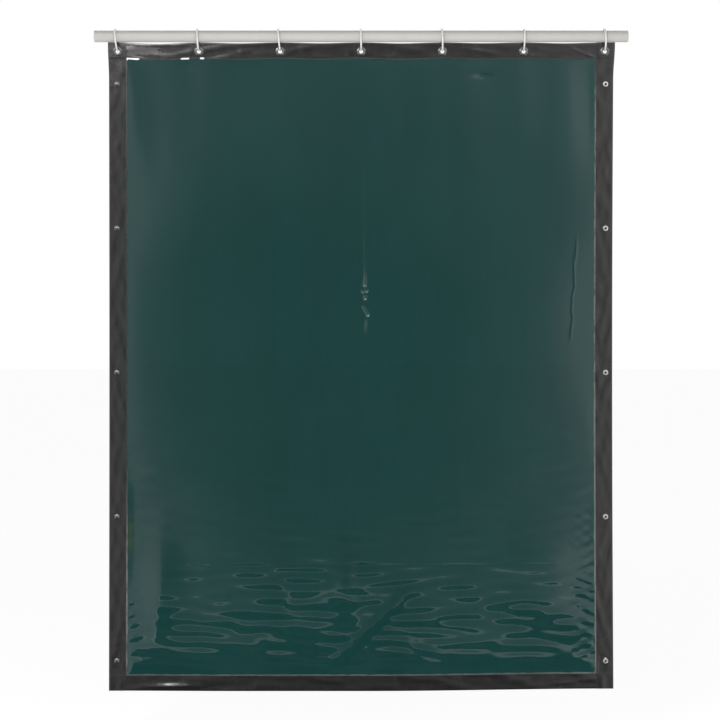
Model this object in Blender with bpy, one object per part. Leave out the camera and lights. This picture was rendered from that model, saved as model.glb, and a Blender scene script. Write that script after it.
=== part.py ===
"""Welding curtain screen: a tinted film with folded hems, hung by snap rings from a tube rail.

Metres, +X along the rail to the right, +Y towards the rear, +Z up. The origin lies on the
rail's axis at mid-length. Each ring slides along the rail, and each eyelet rocks on its ring.
"""

import math

import bmesh
import bpy
from mathutils import Matrix, Vector

# The curtain
CURTAIN_WIDTH = 1.400
CURTAIN_HEIGHT = 1.800
FILM_THICKNESS = 0.0004
STRIP_THICKNESS = 0.0008        # the black strip that is folded over each edge of the film
SIDE_HEM_WIDTH = 0.047
END_HEM_HEIGHT = 0.042          # the top and bottom hems
TOUCH_GAP = 0.0003              # between two pieces that touch

# The rail
RAIL_DIAMETER = 0.032
RAIL_WALL = 0.002
RAIL_OVERHANG = 0.040           # past each side edge of the curtain
RAIL_TO_CURTAIN = 0.0008        # from the rail's underside down to the curtain's top edge

# The eyelets, and the rings that pass through them
EYELET_COUNT = 7
EYELET_INSET = 0.024            # from each side edge to the first eyelet's centre
EYELET_DROP = 0.025             # from the top edge to an eyelet's centre
EYELET_HOLE = 0.011
EYELET_FLANGE = 0.025
EYELET_FLANGE_THICKNESS = 0.0016
EYELET_RIM = 0.0006             # the flange's thickness at its edge
EYELET_BARREL_WALL = 0.0019
EYELET_LIP_WIDTH = 0.0008       # how far the rolled lip reaches past the barrel's rounded mouth
WASHER_THICKNESS = 0.0006
RING_STRAND = 0.005
RING_SLACK = 0.0008             # from the rail's top to the strand above it
RING_SLIT = 0.0006              # between the two jaws of the ring's catch
RING_JAW = 0.0070               # diameter of the jaws
RING_JAW_LENGTH = 0.006         # of each jaw, along the strand
RING_LEANS_DEG = (6.0, 4.0, 5.0, 1.5, 1.5, -1.5, 1.5)

# The press fasteners: capped sockets down the left hem, studs down the right hem
SNAP_COUNT = 5
SNAP_INSET = 0.022              # from the side edge to a fastener's centre
SNAP_TOP_MARGIN = 0.116
SNAP_BOTTOM_MARGIN = 0.084
SNAP_SHANK = 0.0048             # the riveted shank that passes through the hem
SNAP_SHANK_WALL = 0.0005
SNAP_RIVET_STEP = 0.0006        # how far a riveted end spreads past its shank
SNAP_RIVET_HEIGHT = 0.0006
SNAP_BASE = 0.0008              # base plate of the stud, the socket and the post
CAP_DIAMETER = 0.0155
CAP_DOME = 0.0030
CAP_RIM = 0.0007
SOCKET_DIAMETER = 0.0125
SOCKET_HEIGHT = 0.0046
SOCKET_LIP = 0.0008             # height of the mouth's inward lip
SOCKET_LIP_STEP = 0.0003
STUD_DIAMETER = 0.0145
STUD_KNOB_HEIGHT = 0.0026
STUD_KNOB_WALL = 0.0010
STUD_NECK_STEP = 0.0003
SNAP_PLAY = 0.0002              # between a stud's knob and the mouth of a socket
POST_DIAMETER = 0.0120

# How finely round shapes are cut
RAIL_SIDES = 48
RING_STEPS = 28
RING_SIDES = 8
EYELET_SIDES = 16
LIP_STEPS = 4
SNAP_SIDES = 12
DOME_STEPS = 4
FOLD_STEPS = 4

# What follows from the sizes above
RAIL_RADIUS = RAIL_DIAMETER / 2
RAIL_LENGTH = CURTAIN_WIDTH + 2 * RAIL_OVERHANG
CURTAIN_TOP = -RAIL_RADIUS - RAIL_TO_CURTAIN
CURTAIN_BOTTOM = CURTAIN_TOP - CURTAIN_HEIGHT
CURTAIN_MIDDLE = (CURTAIN_TOP + CURTAIN_BOTTOM) / 2
HALF_WIDTH = CURTAIN_WIDTH / 2
SLOT_HALF = FILM_THICKNESS / 2 + TOUCH_GAP
HEM_HALF = SLOT_HALF + STRIP_THICKNESS
SEAT = HEM_HALF + TOUCH_GAP                     # where a flange sits, from the middle plane
EYELET_Z = CURTAIN_TOP - EYELET_DROP
EYELET_SPACING = (CURTAIN_WIDTH - 2 * EYELET_INSET) / (EYELET_COUNT - 1)
EYELET_X = [-HALF_WIDTH + EYELET_INSET + i * EYELET_SPACING for i in range(EYELET_COUNT)]
MOUTH_RADIUS = SEAT + EYELET_FLANGE_THICKNESS   # of the eyelet's rounded mouth, in section
BARREL_RADIUS = EYELET_HOLE / 2 + EYELET_BARREL_WALL
BARREL_HOLE = BARREL_RADIUS + TOUCH_GAP         # in the film and the hems
SWING_Z = EYELET_Z + EYELET_HOLE / 2 + MOUTH_RADIUS
STRAND_TOP = RAIL_RADIUS + RING_SLACK + RING_STRAND / 2
STRAND_BOTTOM = EYELET_Z + EYELET_HOLE / 2 - TOUCH_GAP - RING_STRAND / 2
RING_RADIUS = (STRAND_TOP - STRAND_BOTTOM) / 2
SNAP_SPACING = (CURTAIN_HEIGHT - SNAP_TOP_MARGIN - SNAP_BOTTOM_MARGIN) / (SNAP_COUNT - 1)
SNAP_Z = [CURTAIN_TOP - SNAP_TOP_MARGIN - i * SNAP_SPACING for i in range(SNAP_COUNT)]
SNAP_X = HALF_WIDTH - SNAP_INSET
SHANK_RADIUS = SNAP_SHANK / 2
SHANK_HOLE = SHANK_RADIUS + TOUCH_GAP
RIVET_RADIUS = SHANK_HOLE + SNAP_RIVET_STEP - TOUCH_GAP
BASE_TOP = SEAT + SNAP_BASE                     # the free face of a base plate
RIVET_SEAT = BASE_TOP + TOUCH_GAP
KNOB_HOLLOW = RIVET_RADIUS + TOUCH_GAP
KNOB_RADIUS = KNOB_HOLLOW + STUD_KNOB_WALL
SOCKET_MOUTH = KNOB_RADIUS + SNAP_PLAY


def clear_scene():
    """Removes every object of the scene that the script starts in."""
    for old in list(bpy.data.objects):
        bpy.data.objects.remove(old, do_unlink=True)


def make_material(name, colour, roughness, metallic=0.0):
    """A Principled material of one colour."""
    material = bpy.data.materials.new(name)
    material.use_nodes = True
    shader = material.node_tree.nodes["Principled BSDF"]
    shader.inputs["Base Color"].default_value = (*colour, 1.0)
    shader.inputs["Roughness"].default_value = roughness
    shader.inputs["Metallic"].default_value = metallic
    material.diffuse_color = (*colour, 1.0)
    return material


def add_pivot(name, place, parent=None):
    """An empty on a joint's axis, at a place in the world."""
    pivot = bpy.data.objects.new(name, None)
    pivot.empty_display_size = RING_RADIUS
    bpy.context.collection.objects.link(pivot)
    attach(pivot, place, parent)
    return pivot


def attach(piece, place, parent):
    """Puts a piece at a place in the world, under a parent that may be None."""
    piece.parent = parent
    piece.location = Vector(place) - (world_place(parent) if parent else Vector())


def world_place(piece):
    """Where an object lies in the world: its own place and its parents', none of which turn."""
    place = Vector()
    while piece:
        place += piece.location
        piece = piece.parent
    return place


def add_piece(name, bm, material, place=(0, 0, 0), parent=None, smooth=True):
    """Turns a bmesh into a named object with its own material."""
    bmesh.ops.recalc_face_normals(bm, faces=bm.faces)
    mesh = bpy.data.meshes.new(name)
    bm.to_mesh(mesh)
    bm.free()
    mesh.materials.append(material)
    if smooth:
        mesh.shade_smooth()
        mesh.set_sharp_from_angle(angle=math.radians(40))
    piece = bpy.data.objects.new(name, mesh)
    bpy.context.collection.objects.link(piece)
    attach(piece, place, parent)
    return piece


def turned(profile, sides, axis="Y"):
    """Spins a closed profile of (radius, distance along the axis) pairs about the X or Y axis."""
    bm = bmesh.new()
    along = Vector((1, 0, 0)) if axis == "X" else Vector((0, 1, 0))
    corners = [bm.verts.new(Vector((0, 0, radius)) + along * far) for radius, far in profile]
    edges = [bm.edges.new((a, b)) for a, b in zip(corners, corners[1:] + corners[:1])]
    bmesh.ops.spin(bm, geom=corners + edges, cent=(0, 0, 0), axis=along,
                   angle=math.tau, steps=sides, use_merge=True)
    bmesh.ops.remove_doubles(bm, verts=bm.verts, dist=1e-6)
    bmesh.ops.dissolve_degenerate(bm, edges=bm.edges, dist=1e-6)
    loose = [edge for edge in bm.edges if not edge.link_faces]
    bmesh.ops.delete(bm, geom=loose, context="EDGES")
    return bm


def arc(centre, radius, start, end, steps):
    """Points on an arc, as (u, v) pairs, from one angle to another in degrees."""
    angles = [math.radians(start + (end - start) * k / steps) for k in range(steps + 1)]
    return [(centre[0] + radius * math.cos(a), centre[1] + radius * math.sin(a)) for a in angles]


def fold_outline(width):
    """A hem's cross-section as (inward from the edge, across) pairs: a strip folded over the film."""
    outer = arc((HEM_HALF, 0), HEM_HALF, 270, 90, FOLD_STEPS)
    inner = arc((HEM_HALF, 0), SLOT_HALF, 90, 270, FOLD_STEPS)
    return [(width, -HEM_HALF), *outer, (width, HEM_HALF), (width, SLOT_HALF), *inner, (width, -SLOT_HALF)]


def extruded(outline, direction):
    """Extrudes a closed outline of 3D points along a direction, with its ends filled."""
    bm = bmesh.new()
    face = bm.faces.new([bm.verts.new(point) for point in outline])
    grown = bmesh.ops.extrude_face_region(bm, geom=[face])
    moved = [item for item in grown["geom"] if isinstance(item, bmesh.types.BMVert)]
    bmesh.ops.translate(bm, verts=moved, vec=direction)
    return bm


def drill(piece, name, places, radius, sides):
    """Cuts round holes from front to rear through a piece, at (x, z) places in the world."""
    bm = bmesh.new()
    for x, z in places:
        turn = Matrix.Translation((x, 0, z)) @ Matrix.Rotation(math.radians(90), 4, "X")
        bmesh.ops.create_cone(bm, cap_ends=True, segments=sides, radius1=radius,
                              radius2=radius, depth=8 * HEM_HALF, matrix=turn)
    cutter = add_piece(name, bm, piece.data.materials[0], smooth=False)
    cutter.hide_render = True
    cutter.display_type = "WIRE"
    cut = piece.modifiers.new(name, "BOOLEAN")
    cut.operation = "DIFFERENCE"
    cut.solver = "EXACT"
    cut.object = cutter


def add_rail(material):
    """The tube that everything hangs from, open at both ends."""
    half, inner = RAIL_LENGTH / 2, RAIL_RADIUS - RAIL_WALL
    wall = [(RAIL_RADIUS, -half), (RAIL_RADIUS, half), (inner, half), (inner, -half)]
    add_piece("rail_tube", turned(wall, RAIL_SIDES, axis="X"), material)


def strand_section(bm, angle, radius):
    """One round section of a ring's strand, at an angle from the ring's rear."""
    outward = Vector((0, math.cos(angle), math.sin(angle)))
    turns = [math.tau * k / RING_SIDES for k in range(RING_SIDES)]
    return [bm.verts.new(outward * (RING_RADIUS + radius * math.cos(t)) + Vector((radius * math.sin(t), 0, 0)))
            for t in turns]


def ring_mesh():
    """A round ring in the YZ plane, slit at the rear between the two thicker jaws of its catch."""
    bm = bmesh.new()
    slit = RING_SLIT / 2 / RING_RADIUS
    jaw = slit + RING_JAW_LENGTH / RING_RADIUS
    taper = jaw + RING_STRAND / 2 / RING_RADIUS
    run = [taper + (math.tau - 2 * taper) * k / RING_STEPS for k in range(RING_STEPS + 1)]
    stations = [(slit, RING_JAW / 2), (jaw, RING_JAW / 2)]
    stations += [(angle, RING_STRAND / 2) for angle in run]
    stations += [(math.tau - jaw, RING_JAW / 2), (math.tau - slit, RING_JAW / 2)]
    loops = [strand_section(bm, angle, radius) for angle, radius in stations]
    for one, two in zip(loops, loops[1:]):
        for k in range(RING_SIDES):
            after = (k + 1) % RING_SIDES
            bm.faces.new((one[k], one[after], two[after], two[k]))
    bm.faces.new(loops[0])
    bm.faces.new(loops[-1])
    return bm


def add_ring(number, lean_deg, material, slide):
    """A ring that hangs on the rail, leaning about the point where it holds its eyelet."""
    bm = ring_mesh()
    bmesh.ops.translate(bm, verts=bm.verts, vec=(0, 0, RING_RADIUS))
    lean = Matrix.Rotation(math.radians(-lean_deg), 3, "Y")
    bmesh.ops.rotate(bm, verts=bm.verts, cent=(0, 0, 0), matrix=lean)
    place = (EYELET_X[number - 1], 0, STRAND_BOTTOM)
    add_piece(f"ring_{number}", bm, material, place, slide)


def eyelet_profile():
    """Front flange, barrel with a rounded mouth, and the lip rolled over the washer."""
    hole = EYELET_HOLE / 2
    crest = hole + MOUTH_RADIUS
    lip_under = SEAT + WASHER_THICKNESS + TOUCH_GAP
    mouth = arc((crest, 0), MOUTH_RADIUS, 270, 90, LIP_STEPS)
    lip = crest + EYELET_LIP_WIDTH
    flange = EYELET_FLANGE / 2
    shoulder = flange - (EYELET_FLANGE_THICKNESS - EYELET_RIM)
    return [*mouth, (lip, MOUTH_RADIUS), (lip, lip_under), (BARREL_RADIUS, lip_under),
            (BARREL_RADIUS, -SEAT), (flange, -SEAT), (flange, -SEAT - EYELET_RIM),
            (shoulder, -MOUTH_RADIUS)]


def add_eyelet(number, material, swing):
    """An eyelet through the hem, and the washer that it is closed over at the rear."""
    place = (EYELET_X[number - 1], 0, EYELET_Z)
    add_piece(f"eyelet_{number}", turned(eyelet_profile(), EYELET_SIDES), material, place, swing)
    inner, outer, rear = BARREL_HOLE, EYELET_FLANGE / 2, SEAT + WASHER_THICKNESS
    washer = [(inner, SEAT), (outer, SEAT), (outer, rear), (inner, rear)]
    add_piece(f"eyelet_washer_{number}", turned(washer, EYELET_SIDES), material, place, swing)


def add_side_hem(name, side, material, swing):
    """A strip folded over the film's left (side -1) or right (side 1) edge, from top to bottom."""
    outline = [(side * (HALF_WIDTH - inward), across, CURTAIN_BOTTOM)
               for inward, across in fold_outline(SIDE_HEM_WIDTH)]
    hem = add_piece(name, extruded(outline, (0, 0, CURTAIN_HEIGHT)), material, parent=swing)
    drill(hem, f"{name}_eyelet_hole", [(side * EYELET_X[-1], EYELET_Z)], BARREL_HOLE, EYELET_SIDES)
    drill(hem, f"{name}_shank_holes", [(side * SNAP_X, z) for z in SNAP_Z], SHANK_HOLE, SNAP_SIDES)


def add_end_hem(name, edge_z, inward_sign, material, swing):
    """A strip folded over the film's top or bottom edge, between the side hems."""
    left = -HALF_WIDTH + SIDE_HEM_WIDTH + TOUCH_GAP
    outline = [(left, across, edge_z + inward_sign * inward)
               for inward, across in fold_outline(END_HEM_HEIGHT)]
    return add_piece(name, extruded(outline, (-2 * left, 0, 0)), material, parent=swing)


def add_film(material, swing):
    """The tinted sheet, with a hole for each eyelet and each fastener's shank."""
    bm = bmesh.new()
    size = (CURTAIN_WIDTH - 2 * HEM_HALF, FILM_THICKNESS, CURTAIN_HEIGHT - 2 * HEM_HALF)
    shape = Matrix.Translation((0, 0, CURTAIN_MIDDLE)) @ Matrix.Diagonal((*size, 1))
    bmesh.ops.create_cube(bm, size=1, matrix=shape)
    film = add_piece("film_sheet", bm, material, parent=swing, smooth=False)
    drill(film, "film_eyelet_holes", [(x, EYELET_Z) for x in EYELET_X], BARREL_HOLE, EYELET_SIDES)
    shanks = [(side * SNAP_X, z) for side in (-1, 1) for z in SNAP_Z]
    drill(film, "film_shank_holes", shanks, SHANK_HOLE, SNAP_SIDES)


def cap_profile():
    """A domed front cap with a solid shank, riveted over the socket's base."""
    rim = -SEAT - CAP_RIM
    dome_radius = (CAP_DIAMETER / 2) ** 2 / 2 / (CAP_DOME - CAP_RIM) + (CAP_DOME - CAP_RIM) / 2
    half_angle = math.degrees(math.asin(CAP_DIAMETER / 2 / dome_radius))
    centre = (0, -SEAT - CAP_DOME + dome_radius)
    dome = arc(centre, dome_radius, 270, 270 + half_angle, DOME_STEPS)
    dome = [(0, dome[0][1]), *dome[1:-1], (CAP_DIAMETER / 2, rim)]
    rivet_end = RIVET_SEAT + SNAP_RIVET_HEIGHT
    return [*dome, (CAP_DIAMETER / 2, -SEAT), (SHANK_RADIUS, -SEAT), (SHANK_RADIUS, RIVET_SEAT),
            (RIVET_RADIUS, RIVET_SEAT), (RIVET_RADIUS, rivet_end), (0, rivet_end)]


def socket_profile():
    """The rear half of a capped fastener: a cup whose lipped mouth takes a stud's knob."""
    outer, mouth = SOCKET_DIAMETER / 2, SOCKET_MOUTH
    end = SEAT + SOCKET_HEIGHT
    hollow = mouth + SOCKET_LIP_STEP
    return [(SHANK_HOLE, SEAT), (outer, SEAT), (outer, end), (mouth, end), (mouth, end - SOCKET_LIP),
            (hollow, end - SOCKET_LIP), (hollow, BASE_TOP), (SHANK_HOLE, BASE_TOP)]


def stud_profile():
    """The front half of a stud fastener: a plate with a hollow, slightly waisted knob."""
    front = -BASE_TOP - STUD_KNOB_HEIGHT
    neck = KNOB_RADIUS - STUD_NECK_STEP
    bulge = -BASE_TOP - STUD_KNOB_HEIGHT / 2
    return [(SHANK_HOLE, -SEAT), (STUD_DIAMETER / 2, -SEAT), (STUD_DIAMETER / 2, -BASE_TOP),
            (neck, -BASE_TOP), (KNOB_RADIUS, bulge), (neck, front), (KNOB_HOLLOW, front),
            (KNOB_HOLLOW, -BASE_TOP), (SHANK_HOLE, -BASE_TOP)]


def post_profile():
    """The hollow rivet behind a stud, with its front end spread inside the knob."""
    bore = SHANK_RADIUS - SNAP_SHANK_WALL
    rivet_end = -RIVET_SEAT - SNAP_RIVET_HEIGHT
    return [(bore, BASE_TOP), (bore, rivet_end), (RIVET_RADIUS, rivet_end), (RIVET_RADIUS, -RIVET_SEAT),
            (SHANK_RADIUS, -RIVET_SEAT), (SHANK_RADIUS, SEAT), (POST_DIAMETER / 2, SEAT),
            (POST_DIAMETER / 2, BASE_TOP)]


def add_snaps(names, side, metal_or_paint, swing):
    """A column of two-piece fasteners down one side hem; names gives each half's name and profile."""
    for number, z in enumerate(SNAP_Z, start=1):
        for (name, profile), material in zip(names, metal_or_paint):
            place = (side * SNAP_X, 0, z)
            add_piece(f"{name}_{number}", turned(profile(), SNAP_SIDES), material, place, swing)


def add_pivots():
    """An empty for each ring's slide on the rail's axis, and one for each eyelet's swing."""
    first = add_pivot("slide_1", (EYELET_X[0], 0, 0))
    slides = [first]
    for number, x in enumerate(EYELET_X[1:], start=2):
        slides.append(add_pivot(f"slide_{number}", (x, 0, 0), first))
    swings = [add_pivot(f"swing_{number}", (x, 0, SWING_Z), slide)
              for number, (x, slide) in enumerate(zip(EYELET_X, slides), start=1)]
    return slides, swings


def main():
    """Builds the rail, then each ring and eyelet, then the curtain and its fasteners."""
    clear_scene()
    paint = make_material("rail_paint", (0.59, 0.58, 0.55), 0.38)
    nylon = make_material("ring_nylon", (0.86, 0.86, 0.84), 0.35)
    black_metal = make_material("blackened_metal", (0.028, 0.028, 0.030), 0.30, 0.6)
    nickel = make_material("nickel_plate", (0.72, 0.71, 0.69), 0.22, 1.0)
    black_vinyl = make_material("black_vinyl", (0.030, 0.030, 0.031), 0.28)
    film = make_material("green_film", (0.020, 0.075, 0.070), 0.08)

    slides, swings = add_pivots()
    first, last = swings[0], swings[-1]
    add_rail(paint)
    for number in range(1, EYELET_COUNT + 1):
        add_ring(number, RING_LEANS_DEG[number - 1], nylon, slides[number - 1])
        add_eyelet(number, black_metal, swings[number - 1])
    add_film(film, first)
    top = add_end_hem("top_hem", CURTAIN_TOP, -1, black_vinyl, first)
    drill(top, "top_hem_eyelet_holes", [(x, EYELET_Z) for x in EYELET_X[1:-1]], BARREL_HOLE, EYELET_SIDES)
    add_end_hem("bottom_hem", CURTAIN_BOTTOM, 1, black_vinyl, first)
    add_side_hem("left_hem", -1, black_vinyl, first)
    add_side_hem("right_hem", 1, black_vinyl, last)
    capped = (("snap_cap", cap_profile), ("snap_socket", socket_profile))
    add_snaps(capped, -1, (black_metal, nickel), first)
    studded = (("snap_stud", stud_profile), ("snap_post", post_profile))
    add_snaps(studded, 1, (nickel, nickel), last)


main()
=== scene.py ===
"""Welding curtain screen: a tinted film with black hems, hung by snap rings from a tube rail.

Metres, +X along the rail to the right, +Y to the rear, +Z up. The origin lies on the rail's
axis at mid-length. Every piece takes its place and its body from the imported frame.
"""

from __future__ import annotations

import logging
import math
from dataclasses import dataclass, field
from enum import Enum
from typing import Any, Callable, Iterable, Mapping, Sequence

import bmesh
import bpy
import numpy as np
from mathutils import Matrix, Vector


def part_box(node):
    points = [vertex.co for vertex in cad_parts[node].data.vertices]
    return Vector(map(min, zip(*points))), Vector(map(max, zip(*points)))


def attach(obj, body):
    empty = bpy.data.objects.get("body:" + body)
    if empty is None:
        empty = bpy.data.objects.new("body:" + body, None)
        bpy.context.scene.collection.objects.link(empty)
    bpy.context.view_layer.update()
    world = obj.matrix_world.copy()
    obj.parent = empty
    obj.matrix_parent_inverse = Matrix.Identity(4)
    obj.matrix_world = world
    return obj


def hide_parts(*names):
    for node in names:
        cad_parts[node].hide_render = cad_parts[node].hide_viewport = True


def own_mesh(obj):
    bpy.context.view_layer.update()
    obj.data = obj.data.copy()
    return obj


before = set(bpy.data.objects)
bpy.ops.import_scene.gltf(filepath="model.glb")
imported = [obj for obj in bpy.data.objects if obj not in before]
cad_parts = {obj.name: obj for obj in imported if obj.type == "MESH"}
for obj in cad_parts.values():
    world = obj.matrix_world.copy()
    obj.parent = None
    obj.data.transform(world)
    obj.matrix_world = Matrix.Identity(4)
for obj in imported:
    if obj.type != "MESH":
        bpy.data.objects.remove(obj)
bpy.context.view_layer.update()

LOG = logging.getLogger("curtain")
MM = 0.001
TOUCH_GAP = 0.0003
RING_NUMBERS = range(1, 8)
SNAP_NUMBERS = range(1, 6)

Point2 = tuple[float, float]
Triple = tuple[float, float, float]
Colour = Triple


def node_box(name: str) -> tuple[Vector, Vector]:
    """The lowest and highest corner of a CAD node at rest."""
    low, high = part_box(name)
    return Vector(low), Vector(high)


def middle_of(name: str) -> Vector:
    """The middle of a CAD node's box."""
    low, high = node_box(name)
    return (low + high) / 2


# ---------------------------------------------------------------- shader expressions


class Kind(Enum):
    """What a wire carries."""

    NUMBER = "FLOAT"
    VECTOR = "VECTOR"
    COLOUR = "RGBA"


class Wire:
    """A node's output that can be added, scaled and compared like a number."""

    def __init__(self, nodes: Nodes, socket: bpy.types.NodeSocket) -> None:
        """Wraps a socket.

        Args:
            nodes: The node tree's builder.
            socket: The output to wrap.
        """
        self.nodes = nodes
        self.socket = socket
        self.kind = {"VECTOR": Kind.VECTOR, "RGBA": Kind.COLOUR}.get(socket.type, Kind.NUMBER)

    def _join(self, operation: str, first: Operand, second: Operand) -> Wire:
        """Joins two operands with the node that suits what they carry.

        Args:
            operation: A Math node's operation.
            first: The left operand.
            second: The right operand.

        Returns:
            The result.
        """
        kinds = [o.kind for o in (first, second) if isinstance(o, Wire)]
        if Kind.COLOUR in kinds:
            return self._join_colours(operation, first, second)
        settings = {"operation": operation}
        if Kind.VECTOR in kinds:
            inputs = {0: _triple(first), 1: _triple(second)}
            return self.nodes.add("ShaderNodeVectorMath", settings, inputs)
        return self.nodes.add("ShaderNodeMath", settings, {0: first, 1: second})

    def _join_colours(self, operation: str, first: Operand, second: Operand) -> Wire:
        """Joins two colours, or a colour and a number, with a Mix node.

        Args:
            operation: A Math node's operation, which Mix names the same way.
            first: The left operand.
            second: The right operand.

        Returns:
            The colour.
        """
        settings = {"data_type": "RGBA", "blend_type": operation, "clamp_result": False}
        inputs = {0: 1.0, 6: _triple(first), 7: _triple(second)}
        return self.nodes.add("ShaderNodeMix", settings, inputs, output=2)

    def __add__(self, other: Operand) -> Wire:
        """self + other."""
        return self._join("ADD", self, other)

    def __radd__(self, other: Operand) -> Wire:
        """other + self."""
        return self._join("ADD", other, self)

    def __sub__(self, other: Operand) -> Wire:
        """self - other."""
        return self._join("SUBTRACT", self, other)

    def __rsub__(self, other: Operand) -> Wire:
        """other - self."""
        return self._join("SUBTRACT", other, self)

    def __mul__(self, other: Operand) -> Wire:
        """self * other."""
        return self._join("MULTIPLY", self, other)

    def __rmul__(self, other: Operand) -> Wire:
        """other * self."""
        return self._join("MULTIPLY", other, self)

    def __abs__(self) -> Wire:
        """The size of a number, whatever its sign."""
        return self.nodes.add("ShaderNodeMath", {"operation": "ABSOLUTE"}, {0: self})

    def step(self, start: float, end: float, low: float = 0.0, high: float = 1.0) -> Wire:
        """Eases from low to high as this number goes from start to end.

        Args:
            start: Where the easing starts.
            end: Where it ends.
            low: The value at the start.
            high: The value at the end.

        Returns:
            The eased number.
        """
        settings = {"interpolation_type": "SMOOTHSTEP"}
        inputs = {0: self, 1: start, 2: end, 3: low, 4: high}
        return self.nodes.add("ShaderNodeMapRange", settings, inputs)


Operand = Wire | float | int | Sequence[float]


def _triple(value: Operand) -> Operand:
    """A plain number as three equal ones; anything else as it is."""
    return (float(value),) * 3 if isinstance(value, (int, float)) else value


class Nodes:
    """Builds the nodes of one material or world."""

    def __init__(self, tree: bpy.types.NodeTree) -> None:
        """Empties a node tree and starts on it."""
        tree.nodes.clear()
        self.tree = tree

    def add(self, kind: str, settings: Mapping[str, Any] | None = None,
            inputs: Mapping[str | int, Operand] | None = None,
            output: str | int = 0) -> Wire | None:
        """Adds a node.

        Args:
            kind: The node's type.
            settings: Its settings, set first. "stops" are a ramp's (place, colour) pairs.
            inputs: A value or a wire for each of its sockets.
            output: The output that is wanted.

        Returns:
            That output, or None from a node that has none.
        """
        node = self.tree.nodes.new(kind)
        for key, value in (settings or {}).items():
            if key == "stops":
                self._set_stops(node.color_ramp, value)
            else:
                setattr(node, key, value)
        for key, value in (inputs or {}).items():
            self._feed(node.inputs[key], value)
        return Wire(self, node.outputs[output]) if node.outputs else None

    @staticmethod
    def _set_stops(ramp: bpy.types.ColorRamp, stops: Sequence[tuple[float, Colour]]) -> None:
        """Gives a ramp its stops, in order of place."""
        while len(ramp.elements) > 1:
            ramp.elements.remove(ramp.elements[-1])
        for number, (place, colour) in enumerate(stops):
            stop = ramp.elements[0] if number == 0 else ramp.elements.new(place)
            stop.position = place
            stop.color = (*colour, 1.0)

    def _feed(self, socket: bpy.types.NodeSocket, value: Operand) -> None:
        """Links a wire to a socket, or sets the socket's own value."""
        if isinstance(value, Wire):
            self.tree.links.new(value.socket, socket)
        elif socket.type == "RGBA" and len(value) == 3:
            socket.default_value = (*value, 1.0)
        else:
            socket.default_value = value

    def place(self, output: str = "Object") -> Wire:
        """Where on the piece, in its own coordinates."""
        return self.add("ShaderNodeTexCoord", output=output)

    def split(self, vector: Wire) -> tuple[Wire, Wire]:
        """The across and the up part of a vector."""
        across = self.add("ShaderNodeSeparateXYZ", None, {0: vector})
        return across, Wire(self, across.socket.node.outputs[2])

    def noise(self, size: float, stretch: Sequence[float] = (1, 1, 1), detail: float = 3.0,
              rough: float = 0.5) -> Wire:
        """Soft noise about 0.5.

        Args:
            size: The size of one blotch, in metres.
            stretch: How much longer it is along each axis.
            detail: How many finer layers it has.
            rough: How strong those are.

        Returns:
            The noise.
        """
        where = self.place() * tuple(1 / (size * s) for s in stretch)
        inputs = {"Vector": where, "Scale": 1.0, "Detail": detail, "Roughness": rough}
        return self.add("ShaderNodeTexNoise", None, inputs)

    def ramp(self, along: Wire, stops: Iterable[tuple[float, float | Colour]]) -> Wire:
        """A colour that passes through (place, grey or colour) stops between -0.5 and 0.5."""
        settings = {"stops": [(place + 0.5, _triple(light)) for place, light in stops]}
        return self.add("ShaderNodeValToRGB", settings, {0: along + 0.5})

    def blend(self, factor: Operand, first: Operand, second: Operand) -> Wire:
        """A colour that goes from first to second as factor goes from 0 to 1."""
        settings = {"data_type": "RGBA", "clamp_factor": True}
        return self.add("ShaderNodeMix", settings, {0: factor, 6: first, 7: second}, output=2)

    def bump(self, height: Wire, distance: float) -> Wire:
        """A normal that follows a height between 0 and 1, distance metres deep."""
        inputs = {"Height": height, "Distance": distance, "Strength": 1.0}
        return self.add("ShaderNodeBump", None, inputs)

    def surface(self, **sockets: Operand) -> None:
        """Ends a material in one Principled shader, its sockets named with underscores."""
        inputs = {key.replace("_", " "): value for key, value in sockets.items()}
        shader = self.add("ShaderNodeBsdfPrincipled", None, inputs)
        self.add("ShaderNodeOutputMaterial", None, {"Surface": shader})


# ---------------------------------------------------------------- finishes


@dataclass(frozen=True)
class Finish:
    """A surface finish, and the name of the slot that it stands for."""

    name: str
    slot: str

    def paint(self, nodes: Nodes) -> None:
        """Builds the finish's nodes."""
        raise NotImplementedError

    def material(self) -> bpy.types.Material:
        """The finish's material, made once."""
        found = bpy.data.materials.get(self.name)
        if found is None:
            found = bpy.data.materials.new(self.name)
            found.use_nodes = True
            self.paint(Nodes(found.node_tree))
        return found


@dataclass(frozen=True)
class RailPaint(Finish):
    """Light grey stove enamel, worn by the rings along its top."""

    name: str = "rail_enamel"
    slot: str = "rail_paint"
    colour: Colour = (0.372, 0.367, 0.345)
    rub_wear_and_highlight: Colour = (0.316, 0.311, 0.291)

    def paint(self, nodes: Nodes) -> None:
        """Enamel with a faint orange peel, and fine scratches lengthways."""
        scratches = nodes.noise(0.0006, (60, 1, 1), detail=4).step(0.60, 0.72)
        mottle = nodes.noise(0.05)
        worn = scratches * nodes.noise(0.07).step(0.45, 0.65)
        base = nodes.blend(worn * 0.5, self.colour, self.rub_wear_and_highlight)
        base = base * (mottle * 0.10 + 0.95)
        peel = nodes.noise(0.0022, detail=1)
        nodes.surface(Base_Color=base, Roughness=mottle * 0.10 + 0.36 + worn * 0.15,
                      Specular_IOR_Level=0.35, Normal=nodes.bump(peel, 0.00003))


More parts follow.
